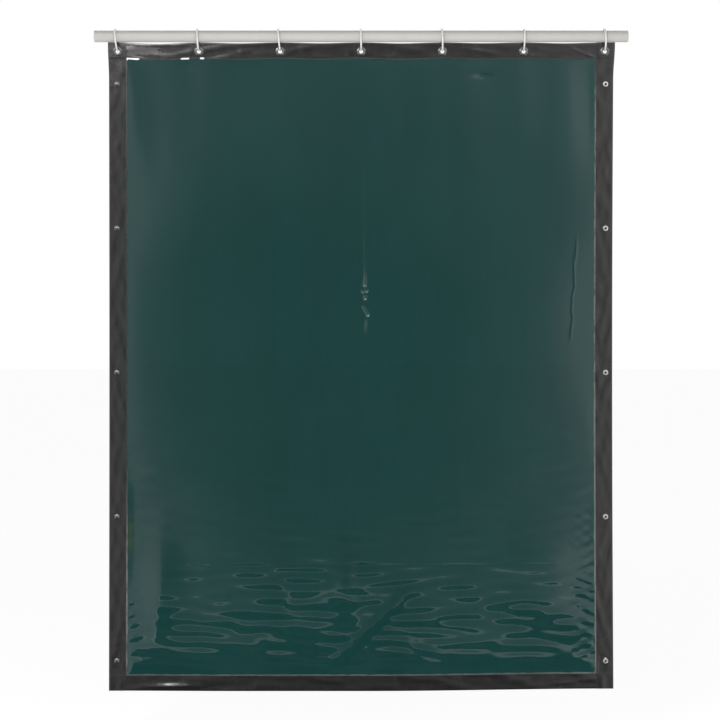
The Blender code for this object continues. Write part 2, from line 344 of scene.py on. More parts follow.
@dataclass(frozen=True)
class RingNylon(Finish):
    """White moulded nylon."""

    name: str = "white_nylon"
    slot: str = "ring_nylon"
    colour: Colour = (0.555, 0.555, 0.535)
    shaded: Colour = (0.475, 0.470, 0.450)

    def paint(self, nodes: Nodes) -> None:
        """White with slight flow marks and a satin surface."""
        flow = nodes.noise(0.006, (1, 1, 2))
        fine = nodes.noise(0.0007, detail=2)
        nodes.surface(Base_Color=nodes.blend(flow.step(0.35, 0.8), self.colour, self.shaded),
                      Roughness=fine * 0.14 + 0.27, Normal=nodes.bump(fine, 0.00002))


@dataclass(frozen=True)
class BlackenedMetal(Finish):
    """Steel blackened and lacquered, with the steel showing through where it rubs."""

    name: str = "black_lacquered_steel"
    slot: str = "blackened_metal"
    colour: Colour = (0.017, 0.017, 0.018)
    bare_wear_and_glints: Colour = (0.33, 0.31, 0.28)

    def paint(self, nodes: Nodes) -> None:
        """Black lacquer that is worn through on its sharpest edges."""
        edge = nodes.add("ShaderNodeNewGeometry", output="Pointiness").step(0.535, 0.60)
        patchy = nodes.noise(0.0016, detail=4)
        worn = edge * patchy.step(0.42, 0.62)
        nodes.surface(Base_Color=nodes.blend(worn * 0.7, self.colour, self.bare_wear_and_glints),
                      Metallic=worn * 0.6 + 0.35, Roughness=patchy * 0.22 + 0.16,
                      Coat_Weight=1.0, Coat_Roughness=0.04, Coat_IOR=1.8,
                      Normal=nodes.bump(nodes.noise(0.0009, detail=2), 0.00002))


@dataclass(frozen=True)
class NickelPlate(Finish):
    """Bright nickel plate with a soft brushed haze."""

    name: str = "nickel"
    slot: str = "nickel_plate"
    colour: Colour = (0.54, 0.535, 0.515)
    dull: Colour = (0.38, 0.365, 0.34)

    def paint(self, nodes: Nodes) -> None:
        """Nickel, duller in patches."""
        haze = nodes.noise(0.0028, detail=4)
        nodes.surface(Base_Color=nodes.blend(haze.step(0.45, 0.75), self.colour, self.dull),
                      Metallic=1.0, Roughness=haze * 0.20 + 0.16,
                      Normal=nodes.bump(nodes.noise(0.0007, detail=2), 0.00002))


@dataclass(frozen=True)
class BlackVinyl(Finish):
    """Glossy black vinyl strip with faint dust and handling marks, and a painted highlight near its
    upper left.
    """

    name: str = "black_vinyl_strip"
    slot: str = "black_vinyl"
    colour: Colour = (0.0072, 0.0070, 0.0072)
    # Grey of the dust specks, and of the painted highlight patch.
    dust_and_highlight: Colour = (0.058, 0.056, 0.056)

    def paint(self, nodes: Nodes) -> None:
        """Black gloss with a fine pebble and specks of dust, and a painted highlight as a lighter patch
        near its upper left.
        """
        marks = nodes.noise(0.022, (1, 1, 1.6), detail=5, rough=0.62)
        fine = nodes.noise(0.0018, detail=3)
        dust = marks.step(0.48, 0.74) * fine.step(0.45, 0.65)
        across, height = nodes.split(nodes.place())
        # A ragged patch near the upper left, painted lighter as a highlight.
        ragged = nodes.noise(0.011, detail=4, rough=0.6) * 0.034 - 0.017
        rub_wear_and_highlight = ((across + ragged).step(-0.655, -0.645) * (across - ragged).step(-0.556, -0.566)
                  * (height + ragged * 0.4).step(-0.0530, -0.0490)
                  * (height - ragged * 0.4).step(-0.0290, -0.0330))
        # The dust specks and the painted highlight patch both blend the black towards the grey.
        nodes.surface(Base_Color=nodes.blend(dust * 0.16 + rub_wear_and_highlight, self.colour, self.dust_and_highlight),
                      Roughness=marks * 0.10 + 0.115 + dust * 0.15,
                      Normal=nodes.bump(fine * 0.4 + marks * 0.6, 0.00008), IOR=1.53)


@dataclass(frozen=True)
class WeldBead(Finish):
    """The milky line where the strip is welded to the film.

    Its last field holds (middle, half-length) along X of each stretch of the top line that is painted
    white as a glint.
    """

    name: str = "weld_line"
    slot: str = "black_vinyl"
    clear: Colour = (0.0060, 0.0150, 0.0145)
    milky: Colour = (0.076, 0.086, 0.082)
    # White of the painted glints on the top line.
    white: Colour = (0.80, 0.81, 0.80)
    bare_wear_and_glints: tuple[Point2, ...] = ((-0.6333, 0.0165), (-0.489, 0.0105), (-0.4415, 0.0050))

    def paint(self, nodes: Nodes) -> None:
        """Milky down the right and round the bottom, clear elsewhere, and painted white as glints on
        stretches of the top line.
        """
        across, height = nodes.split(nodes.place())
        milky_side = across.step(0.50, 0.63) * height.step(-0.07, -0.22)
        milky_end = height.step(-1.15, -1.55)
        patch = nodes.noise(0.030, detail=4, rough=0.65).step(0.34, 0.56)
        pressed = nodes.noise(0.0016, detail=2)
        # The stretches of the top line painted white as glints.
        bare_wear_and_glints = sum(across.step(middle - half - 0.002, middle - half + 0.001)
                   * across.step(middle + half + 0.002, middle + half - 0.001)
                   for middle, half in self.bare_wear_and_glints) * height.step(-0.0675, -0.0650)
        milk = ((milky_side + milky_end) * (patch * 0.75 + 0.25)
                * height.step(-1.742, -1.752, 1.0, 0.45))
        line = nodes.blend(milk, self.clear, self.milky)
        nodes.surface(Base_Color=nodes.blend(bare_wear_and_glints, line, self.white),
                      Roughness=pressed * 0.25 + 0.16, Normal=nodes.bump(pressed, 0.00015), IOR=1.53)


@dataclass(frozen=True)
class GreenFilm(Finish):
    """Clear green vinyl film, dark enough to stop a welding arc's glare."""

    name: str = "green_welding_film"
    slot: str = "green_film"
    colour: Colour = (0.0053, 0.0475, 0.0450)
    thick: Colour = (0.0045, 0.0428, 0.0405)
    stained: Colour = (0.0320, 0.0640, 0.0290)
    ior: float = 1.53

    def paint(self, nodes: Nodes) -> None:
        """Tinted glassy film with cloudy tint, calender streaks and a trace of dust."""
        cloud = nodes.noise(0.16, (1, 1, 2.2), detail=3)
        streak = nodes.noise(0.012, (1, 1, 30), detail=2)
        tint = (cloud * 0.7 + streak * 0.3).step(0.35, 0.65)
        across, height = nodes.split(nodes.place())
        beside = across.step(-0.618, -0.648) * height.step(-1.30, -1.36) * height.step(-1.48, -1.40)
        stain = beside * nodes.noise(0.018, detail=4, rough=0.6).step(0.40, 0.62)
        clean = nodes.blend(tint, self.colour, self.thick)
        nodes.surface(Base_Color=nodes.blend(stain, clean, self.stained),
                      Roughness=cloud * 0.02 + 0.012, Transmission_Weight=1.0, IOR=self.ior)


@dataclass(frozen=True)
class FloorPaint(Finish):
    """Pale matt floor paint that glows a little, as under even studio light."""

    name: str = "floor_paint"
    slot: str = ""
    grey: float = 0.25
    glow: float = 0.88

    def paint(self, nodes: Nodes) -> None:
        """One even matt grey."""
        nodes.surface(Base_Color=(self.grey,) * 3, Roughness=1.0, Specular_IOR_Level=0.0,
                      Emission_Color=(1.0, 1.0, 1.0), Emission_Strength=self.glow)


FLOOR = FloorPaint()
RAIL_PAINT = RailPaint()
NYLON = RingNylon()
BLACK_METAL = BlackenedMetal()
NICKEL = NickelPlate()
# The posts' nickel is painted dark as shade, so the hollow centre of each stud reads dark.
POST_NICKEL_PAINTED_SHADE = NickelPlate("post_nickel_painted_shade", colour=(0.105, 0.100, 0.095),
                          dull=(0.060, 0.056, 0.050))
VINYL = BlackVinyl()
BEAD = WeldBead()
FILM = GreenFilm()


# ---------------------------------------------------------------- mesh building


@dataclass
class Shape:
    """Points and faces of one closed body, with a finish number for each face."""

    points: np.ndarray
    faces: list[tuple[int, ...]]
    finish_of: list[int] = field(default_factory=list)

    def joined(self, other: Shape) -> Shape:
        """This shape and another as one."""
        shift = len(self.points)
        moved = [tuple(i + shift for i in face) for face in other.faces]
        mine = self.finish_of or [0] * len(self.faces)
        theirs = other.finish_of or [0] * len(other.faces)
        return Shape(np.vstack([self.points, other.points]), self.faces + moved, mine + theirs)

    def moved(self, matrix: Matrix) -> Shape:
        """This shape under a transform."""
        turn = np.array(matrix)
        return Shape(self.points @ turn[:3, :3].T + turn[:3, 3], self.faces, self.finish_of)


def add_object(name: str, data: bpy.types.ID) -> bpy.types.Object:
    """Adds an object at the origin."""
    made = bpy.data.objects.new(name, data)
    bpy.context.collection.objects.link(made)
    return made


def make_piece(name: str, node: str, body: str, shape: Shape, *finishes: Finish,
               sharp_deg: float = 50.0, weld: float = 1e-6) -> bpy.types.Object:
    """Makes a piece that stands for a CAD node.

    Args:
        name: The piece's name.
        node: The CAD node that it replaces.
        body: The body that it rides on.
        shape: Its points and faces, in place.
        finishes: Its finishes, in the order that the shape numbers them.
        sharp_deg: Edges that turn more than this stay crisp.
        weld: Points nearer than this become one.

    Returns:
        The piece.
    """
    mesh = bpy.data.meshes.new(name)
    mesh.from_pydata(shape.points.tolist(), [], shape.faces)
    if shape.finish_of:
        mesh.polygons.foreach_set("material_index", shape.finish_of)
    bm = bmesh.new()
    bm.from_mesh(mesh)
    bmesh.ops.remove_doubles(bm, verts=bm.verts, dist=weld)
    bmesh.ops.dissolve_degenerate(bm, edges=bm.edges, dist=weld)
    bmesh.ops.recalc_face_normals(bm, faces=bm.faces)
    bm.to_mesh(mesh)
    bm.free()
    for finish in finishes:
        mesh.materials.append(finish.material())
    mesh.shade_smooth()
    mesh.set_sharp_from_angle(angle=math.radians(sharp_deg))
    piece = add_object(name, mesh)
    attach(piece, body)
    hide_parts(node)
    LOG.info("%s stands for %s on %s, %d faces", name, node, body, len(mesh.polygons))
    return piece


def rounded(corners: Iterable[Triple], steps: int = 3) -> list[Point2]:
    """Rounds the corners of a closed outline.

    Args:
        corners: (u, v, radius) of each corner; a radius of 0 leaves it sharp.
        steps: Edges on each rounded corner.

    Returns:
        The outline's points.
    """
    corners, made = list(corners), []
    for number, (u, v, radius) in enumerate(corners):
        here = Vector((u, v))
        if radius <= 0:
            made.append((u, v))
            continue
        back = Vector(corners[number - 1][:2]) - here
        ahead = Vector(corners[(number + 1) % len(corners)][:2]) - here
        half = back.angle(ahead) / 2
        cut = min(radius / math.tan(half), 0.49 * back.length, 0.49 * ahead.length)
        back.normalize()
        ahead.normalize()
        true_radius = cut * math.tan(half)
        centre = here + (back + ahead).normalized() * (true_radius / math.sin(half))
        start, end = here + back * cut - centre, here + ahead * cut - centre
        for k in range(steps + 1):
            spoke = start.lerp(end, k / steps).normalized() * true_radius
            made.append(tuple(centre + spoke))
    return made


def tube_faces(rings: int, around: int, closed: bool) -> list[tuple[int, ...]]:
    """Faces between rings of points, joined end to end if closed and capped if not."""
    faces = []
    for one in range(rings if closed else rings - 1):
        two = (one + 1) % rings
        for k in range(around):
            after = (k + 1) % around
            faces.append((one * around + k, one * around + after,
                          two * around + after, two * around + k))
    if not closed:
        faces.append(tuple(range(around)))
        faces.append(tuple((rings - 1) * around + k for k in reversed(range(around))))
    return faces


def lathe(profile: Sequence[Point2], sides: int) -> Shape:
    """Spins a closed (radius, distance) outline about the Y axis."""
    turns = np.arange(sides) * math.tau / sides
    outline = np.array(profile, float)
    points = np.empty((sides, len(outline), 3))
    points[..., 0] = np.sin(turns)[:, None] * outline[None, :, 0]
    points[..., 1] = outline[None, :, 1]
    points[..., 2] = np.cos(turns)[:, None] * outline[None, :, 0]
    return Shape(points.reshape(-1, 3), tube_faces(sides, len(outline), closed=True))


def eased(value: np.ndarray, start: float, end: float) -> np.ndarray:
    """0 before start, 1 past end, and smooth between; start may be the larger."""
    share = np.clip((value - start) / (end - start), 0.0, 1.0)
    return share * share * (3 - 2 * share)


NEAREST = 0.0004


def stations(low: float, high: float, step: float, fine: Iterable[Triple] = ()) -> np.ndarray:
    """Places from low to high, closer together in some stretches.

    Args:
        low: The first place.
        high: The last place.
        step: How far apart they usually are.
        fine: (middle, half-length, step) of each stretch that is finer.

    Returns:
        The places in order, none closer than NEAREST to the one before.
    """
    coarse = np.linspace(low, high, max(2, round((high - low) / step) + 1))
    keep = np.ones(len(coarse), bool)
    extra = []
    for middle, half, close in fine:
        a, b = max(low, middle - half), min(high, middle + half)
        if b <= a:
            continue
        keep &= (coarse < a - close * 0.4) | (coarse > b + close * 0.4)
        extra.append(np.linspace(a, b, max(2, round((b - a) / close) + 1)))
    keep[0] = keep[-1] = True
    places = np.unique(np.concatenate([coarse[keep], *extra]))
    wanted = [places[0]]
    for place in places[1:]:
        if place - wanted[-1] > NEAREST:
            wanted.append(place)
    wanted[-1] = high
    return np.array(wanted)


def cut_holes(x: np.ndarray, z: np.ndarray,
              holes: Sequence[Triple]) -> tuple[np.ndarray, np.ndarray, np.ndarray]:
    """Cuts round holes in a grid of points.

    Args:
        x: Each point's place across.
        z: Each point's height.
        holes: (x, z, radius) of each hole.

    Returns:
        The points' places and heights, with those round a hole drawn onto its circle, and which
        cells of the grid are kept.
    """
    keep = np.ones((x.shape[0] - 1, x.shape[1] - 1), bool)
    mid_x, mid_z = (x[1:, 1:] + x[:-1, :-1]) / 2, (z[1:, 1:] + z[:-1, :-1]) / 2
    for hole_x, hole_z, radius in holes:
        keep &= np.hypot(mid_x - hole_x, mid_z - hole_z) > radius
    padded = np.pad(keep, 1, constant_values=False)
    around = padded[:-1, :-1].astype(int) + padded[1:, :-1] + padded[:-1, 1:] + padded[1:, 1:]
    for hole_x, hole_z, radius in holes:
        away = np.hypot(x - hole_x, z - hole_z)
        rim = (around > 0) & (around < 4) & (away < radius * 1.8)
        scale = np.where(rim, radius / np.maximum(away, 1e-9), 1.0)
        x, z = hole_x + (x - hole_x) * scale, hole_z + (z - hole_z) * scale
    return x, z, keep


def closed_sheet(front: np.ndarray, rear: np.ndarray, keep: np.ndarray) -> Shape:
    """Joins two layers of a grid's kept cells into one closed body.

    Args:
        front: The points of one layer, by row and column.
        rear: The points of the other.
        keep: Which cells are kept.

    Returns:
        The body, closed along its outer edge and round each hole.
    """
    rows, columns = keep.shape
    index = np.arange((rows + 1) * (columns + 1)).reshape(rows + 1, columns + 1)
    corners = np.stack([index[:-1, :-1], index[:-1, 1:], index[1:, 1:], index[1:, :-1]], axis=-1)
    cells = corners[keep]
    ahead = np.concatenate([cells[:, [k, (k + 1) % 4]] for k in range(4)])
    known = {(int(a), int(b)) for a, b in ahead}
    rim = sorted((a, b) for a, b in known if (b, a) not in known)
    shift = index.size
    walls = [(b, a, a + shift, b + shift) for a, b in rim]
    faces = [tuple(cell) for cell in cells.tolist()]
    faces += [tuple(i + shift for i in reversed(cell)) for cell in cells.tolist()]
    faces += walls
    used = np.unique(np.array(faces))
    renumber = np.zeros(2 * shift, int)
    renumber[used] = np.arange(len(used))
    points = np.vstack([front.reshape(-1, 3), rear.reshape(-1, 3)])[used]
    return Shape(points, [tuple(int(renumber[i]) for i in face) for face in faces])


# ---------------------------------------------------------------- how the curtain hangs


@dataclass(frozen=True)
class Plan:
    """Where the curtain's edges, hems and fasteners lie, read from the frame."""

    left: float
    right: float
    top: float
    bottom: float
    side_hem: float
    end_hem: float
    eyelets: tuple[Vector, ...]
    snaps: tuple[float, ...]
    snap_x: float

    @classmethod
    def read(cls) -> Plan:
        """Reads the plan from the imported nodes."""
        low_left, high_left = node_box("left_hem")
        high_right = node_box("right_hem")[1]
        low_top, high_top = node_box("top_hem")
        eyelets = tuple(middle_of(f"eyelet_{n}") for n in RING_NUMBERS)
        snaps = tuple(middle_of(f"snap_cap_{n}").z for n in SNAP_NUMBERS)
        return cls(left=low_left.x, right=high_right.x, top=high_left.z, bottom=low_left.z,
                   side_hem=high_left.x - low_left.x, end_hem=high_top.z - low_top.z,
                   eyelets=eyelets, snaps=snaps, snap_x=middle_of("snap_stud_1").x)

    def fasteners(self) -> list[Point2]:
        """(x, z) of each press fastener, the left ones first."""
        return [(side * self.snap_x, z) for side in (-1, 1) for z in self.snaps]


PLAN = Plan.read()


class Feature:
    """Something that lifts the film a little towards front or rear."""

    def height(self, x: np.ndarray, z: np.ndarray) -> np.ndarray:
        """The film's offset to the rear at each point, in metres."""
        raise NotImplementedError


@dataclass(frozen=True)
class Crease(Feature):
    """A soft fold line between two points."""

    start: Point2
    end: Point2
    rise: float
    width: float
    wander: float = 0.0
    broken: float = 0.0
    grain: float = 380.0

    def height(self, x: np.ndarray, z: np.ndarray) -> np.ndarray:
        """A ridge that fades out at its ends, and may wander or break up."""
        ax, az = self.start
        run = np.array((self.end[0] - ax, self.end[1] - az))
        length = float(np.hypot(*run))
        ux, uz = run / length
        along = (x - ax) * ux + (z - az) * uz
        across = (x - ax) * uz - (z - az) * ux
        across = across + self.wander * (np.sin(along * 61) + 0.5 * np.sin(along * 143 + 1))
        ends = eased(along, 0, 0.12 * length) * eased(along, length, 0.88 * length)
        bits = np.sin(along * self.grain) * np.sin(along * self.grain * 0.413 + 0.6)
        breaks = 1 - self.broken * (0.5 + 0.5 * bits)
        return self.rise * ends * breaks * np.exp(-(across / self.width) ** 2)


@dataclass(frozen=True)
class Ripples(Feature):
    """A patch of parallel ripples that fades out all round."""

    middle: Point2
    reach: Point2
    lie_deg: float
    wavelength: float
    slope: float
    phase: float = 0.0
    bend: float = 0.0

    def height(self, x: np.ndarray, z: np.ndarray) -> np.ndarray:
        """Ripples that run along lie_deg, with the steepest slope given."""
        lie = math.radians(self.lie_deg)
        along = (x - self.middle[0]) * math.cos(lie) + (z - self.middle[1]) * math.sin(lie)
        across = (z - self.middle[1]) * math.cos(lie) - (x - self.middle[0]) * math.sin(lie)
        fade = np.exp(-(along / self.reach[0]) ** 2 - (across / self.reach[1]) ** 2)
        bent = across + self.bend * (along / self.reach[0]) ** 2
        wave = np.cos(math.tau * bent / self.wavelength + self.phase)
        return self.slope * self.wavelength / math.tau * wave * fade


@dataclass(frozen=True)
class Swell(Feature):
    """One smooth hump."""

    middle: Point2
    reach: Point2
    rise: float

    def height(self, x: np.ndarray, z: np.ndarray) -> np.ndarray:
        """A bell-shaped hump."""
        across, up = (x - self.middle[0]) / self.reach[0], (z - self.middle[1]) / self.reach[1]
        return self.rise * np.exp(-(across ** 2 + up ** 2))


@dataclass(frozen=True)
class Chop(Feature):
    """Random waves made of many plane ones, all from one seed."""

    seed: int
    wide: Point2
    tall: Point2
    slope: float
    count: int = 36
    mask: Callable[[np.ndarray, np.ndarray], np.ndarray] | None = None

    def height(self, x: np.ndarray, z: np.ndarray) -> np.ndarray:
        """Waves whose crests are wide along x and tall along z, with an even slope."""
        draw = np.random.default_rng(self.seed)
        total = np.zeros_like(x)
        for _ in range(self.count):
            wide = draw.uniform(*self.wide) * draw.choice((-1, 1))
            tall = draw.uniform(*self.tall)
            phase = draw.uniform(0, math.tau)
            steepness = math.tau * math.hypot(1 / wide, 1 / tall)
            size = self.slope / steepness * math.sqrt(2 / self.count)
            total += size * np.cos(math.tau * (x / wide + z / tall) + phase)
        return total if self.mask is None else total * self.mask(x, z)


def low_ripples(x: np.ndarray, z: np.ndarray) -> np.ndarray:
    """How strongly the film ripples: not at all above the middle, most near the bottom."""
    down = 0.40 * eased(z, -0.88, -1.15) + 0.60 * eased(z, -1.20, -1.52)
    calm_middle = 1 - 0.35 * eased(np.abs(x - 0.20), 0.24, 0.08)
    settled = 1 - 0.80 * eased(z, -1.655, -1.735)
    return down * calm_middle * settled


def beside_hems(x: np.ndarray, z: np.ndarray) -> np.ndarray:
    """Where the film puckers beside the side hems, towards the bottom."""
    right = eased(x, 0.575, 0.640) * eased(z, -1.18, -1.50) * eased(z, -1.74, -1.68)
    left = eased(x, -0.600, -0.650) * eased(z, -1.45, -1.60) * 0.7
    return right + left


def under_rings(x: np.ndarray, z: np.ndarray) -> np.ndarray:
    """Where the film flutes below the eyelets."""
    return eased(z, -0.55, -0.08)


def nick(x: float, z: float) -> Crease:
    """A tiny slanted crease that glints."""
    return Crease((x - 0.0034, z - 0.0025), (x + 0.0034, z + 0.0025), 0.00125, 0.0031)


FILM_FEATURES: tuple[Feature, ...] = (
    nick(0.0105, -0.6885), nick(0.0165, -0.7065), nick(0.0060, -0.7080),
    nick(0.0119, -0.7225), nick(0.0125, -0.7270), nick(0.0195, -0.7725),
    Chop(11, (0.22, 0.80), (0.026, 0.044), 0.0118, mask=low_ripples),
    Chop(5, (0.09, 0.26), (0.030, 0.060), 0.0062, mask=low_ripples),
    Chop(67, (0.25, 0.80), (0.09, 0.20), 0.0050, mask=low_ripples),
    Chop(23, (0.045, 0.120), (0.020, 0.038), 0.050, mask=beside_hems),
    Chop(8, (0.10, 0.24), (0.9, 2.5), 0.006, mask=under_rings),
    Chop(31, (0.5, 1.6), (0.5, 1.6), 0.004, count=12),
    Crease((0.010, -0.30), (0.0135, -0.70), 0.00018, 0.0028, wander=0.0010, broken=0.6),
    Crease((0.016, -0.54), (0.013, -0.70), 0.00034, 0.0070, wander=0.0010, broken=0.8, grain=170),
    Crease((0.0120, -0.655), (0.0125, -0.700), 0.00045, 0.0030),
    Crease((0.0040, -0.7460), (0.0215, -0.7760), 0.00060, 0.0032),
    Crease((0.0147, -0.782), (0.0140, -0.828), 0.00040, 0.0024),
    Crease((-0.010, -1.02), (-0.034, -1.36), 0.00012, 0.0035, wander=0.0015),
    Crease((0.600, -0.56), (0.584, -0.85), -0.00030, 0.0022, wander=0.0022),
    Crease((-0.66, -1.469), (0.66, -1.466), 0.00009, 0.0034, wander=0.0006, broken=0.25),
    Crease((-0.500, -0.100), (-0.472, -0.066), 0.00030, 0.0050),
    Swell((-0.556, -1.540), (0.040, 0.100), -0.0034),
    Swell((-0.042, -1.545), (0.030, 0.085), -0.0020),
    Swell((0.500, -1.500), (0.110, 0.130), -0.0018),
    Crease((-0.085, -1.745), (0.150, -1.525), -0.00090, 0.0120),
    Ripples((0.035, -1.640), (0.120, 0.024), 43, 0.021, 0.032, bend=0.003),
    Ripples((0.150, -1.700), (0.060, 0.022), -18, 0.028, 0.026, phase=2.0),
    Swell((0.335, -0.108), (0.024, 0.008), 0.0009),
)


@dataclass(frozen=True)
class Hang:
    """How the curtain departs from its flat plan, the same for its film and hems."""

    sag: tuple[float, ...] = (0.0042, 0.0026, 0.0022, 0.0026, 0.0020, 0.0024)
    bow_left: float = 0.0012
    bow_right: float = -0.0034
    lift_right: float = 0.0070
    lift_left: float = 0.0012
    flare_left: float = -0.0030
    flare_right: float = 0.0045
    slack_in_hem: float = 0.00028
    held_at: float = -0.004
    free_at: float = 0.021

    def place(self, x: np.ndarray, z: np.ndarray) -> tuple[np.ndarray, np.ndarray]:
        """Where a point of the flat curtain hangs.

        Args:
            x: Its place across.
            z: Its height.

        Returns:
            The place and height that it hangs at.
        """
        down = np.zeros_like(x)
        for depth, one, two in zip(self.sag, PLAN.eyelets, PLAN.eyelets[1:]):
            inside = (x > one.x) & (x < two.x)
            share = np.where(inside, (x - one.x) / (two.x - one.x), 0)
            down += depth * np.sin(math.pi * share) ** 2
        down *= eased(z, PLAN.top - 0.42, PLAN.top)
        share = (x - PLAN.left) / (PLAN.right - PLAN.left)
        belly = np.sin(math.pi * np.clip((PLAN.top - z) / (PLAN.top - PLAN.bottom), 0, 1))
        lift = self.lift_right * eased(x, 0.02, 0.70) + self.lift_left * eased(x, -0.35, -0.70)
        lift = lift * eased(z, -1.30, -1.80)
        bow = belly * (self.bow_left * (1 - share) + self.bow_right * share)
        corner = (self.flare_left * eased(x, -0.684, -0.700)
                  + self.flare_right * eased(x, 0.684, 0.700))
        return x + bow + corner * eased(z, -0.12, -0.02), z - down + lift

    def film_height(self, x: np.ndarray, z: np.ndarray) -> np.ndarray:
        """How far the film stands to the rear of its plane, which dies away inside the hems."""
        total = sum(feature.height(x, z) for feature in FILM_FEATURES)
        inward = np.minimum.reduce([x - PLAN.left - PLAN.side_hem, PLAN.right - PLAN.side_hem - x,
                                    z - PLAN.bottom - PLAN.end_hem, PLAN.top - PLAN.end_hem - z])
        free = eased(inward, self.held_at, self.free_at)
        held = self.slack_in_hem * np.tanh(total / self.slack_in_hem)
        return held * (1 - free) + total * free


HANG = Hang()


@dataclass
class FilmSheet:
    """The tinted film: one thin closed sheet with clean holes for the eyelets and shanks.

    rows and columns hold (middle, half-length, step) of each stretch that is cut finer.
    """

    thickness: float = 0.0004
    inset: float = 0.0013
    eyelet_hole: float = 0.0096
    shank_hole: float = 0.0034
    column: float = 0.0140
    row: float = 0.0145
    near_eyelet: Point2 = (0.0120, 0.0048)
    near_shank: Point2 = (0.0036, 0.0024)
    rows: tuple[Triple, ...] = (
        (-1.610, 0.132, 0.0040), (-1.4675, 0.006, 0.0018), (-1.200, 0.245, 0.0082),
        (-0.736, 0.052, 0.0025), (-0.108, 0.010, 0.0034), (-0.0418, 0.014, 0.0031))
    columns: tuple[Triple, ...] = (
        (0.0135, 0.0140, 0.0016), (0.592, 0.012, 0.0020), (0.623, 0.018, 0.0050),
        (-0.630, 0.030, 0.0068), (0.050, 0.030, 0.0072), (-0.06, 0.035, 0.0085),
        (0.335, 0.016, 0.0045))

    def grid(self) -> tuple[np.ndarray, np.ndarray]:
        """The columns and rows that the sheet is cut into."""
        near_eyelets = [(eyelet.x, *self.near_eyelet) for eyelet in PLAN.eyelets]
        near_shanks = [(height, *self.near_shank) for height in PLAN.snaps]
        across = stations(PLAN.left + self.inset, PLAN.right - self.inset, self.column,
                          [*self.columns, *near_eyelets])
        up = stations(PLAN.bottom + self.inset, PLAN.top - self.inset, self.row,
                      [*self.rows, *near_shanks])
        return across, up

    def holes(self) -> list[Triple]:
        """(x, z, radius) of each hole."""
        made = [(eyelet.x, eyelet.z, self.eyelet_hole) for eyelet in PLAN.eyelets]
        return made + [(x, z, self.shank_hole) for x, z in PLAN.fasteners()]

    def shape(self) -> Shape:
        """The sheet's front and rear, joined round its edge and round each hole."""
        x, z, keep = cut_holes(*np.meshgrid(*self.grid()), self.holes())
        offset = HANG.film_height(x, z)
        hung_x, hung_z = HANG.place(x, z)
        front = np.stack([hung_x, offset - self.thickness / 2, hung_z], axis=-1)
        rear = np.stack([hung_x, offset + self.thickness / 2, hung_z], axis=-1)
        return closed_sheet(front, rear, keep)

    def build(self) -> bpy.types.Object:
        """Makes the film and puts it in its node's stead."""
        return make_piece("green_film", "film_sheet", "curtain", self.shape(), FILM,
                          sharp_deg=60, weld=1e-7)


class Edge(Enum):
    """The curtain's edges."""

    TOP = "top"
    BOTTOM = "bottom"
    LEFT = "left"
    RIGHT = "right"


# The weld line's section, from under the strip, out over the film and back. Each point has a
# fixed place in mm, a share of the line's reach to add, its crown in mm, and the extra crown in
# mm where the line swells.
BEAD_SECTION = (
    (-1.5, 0.0, 0.20, 0.0), (0.0, 0.0, 0.22, 0.0), (0.0, 0.35, 0.16, 0.30), (0.0, 0.75, 0.14, 0.34),
    (0.0, 1.0, 0.02, 0.10), (0.0, 1.0, 0.0, 0.0), (0.0, 0.75, 0.0, 0.0), (0.0, 0.35, 0.0, 0.0),
    (0.0, 0.0, 0.0, 0.0), (-1.5, 0.0, 0.0, 0.0))


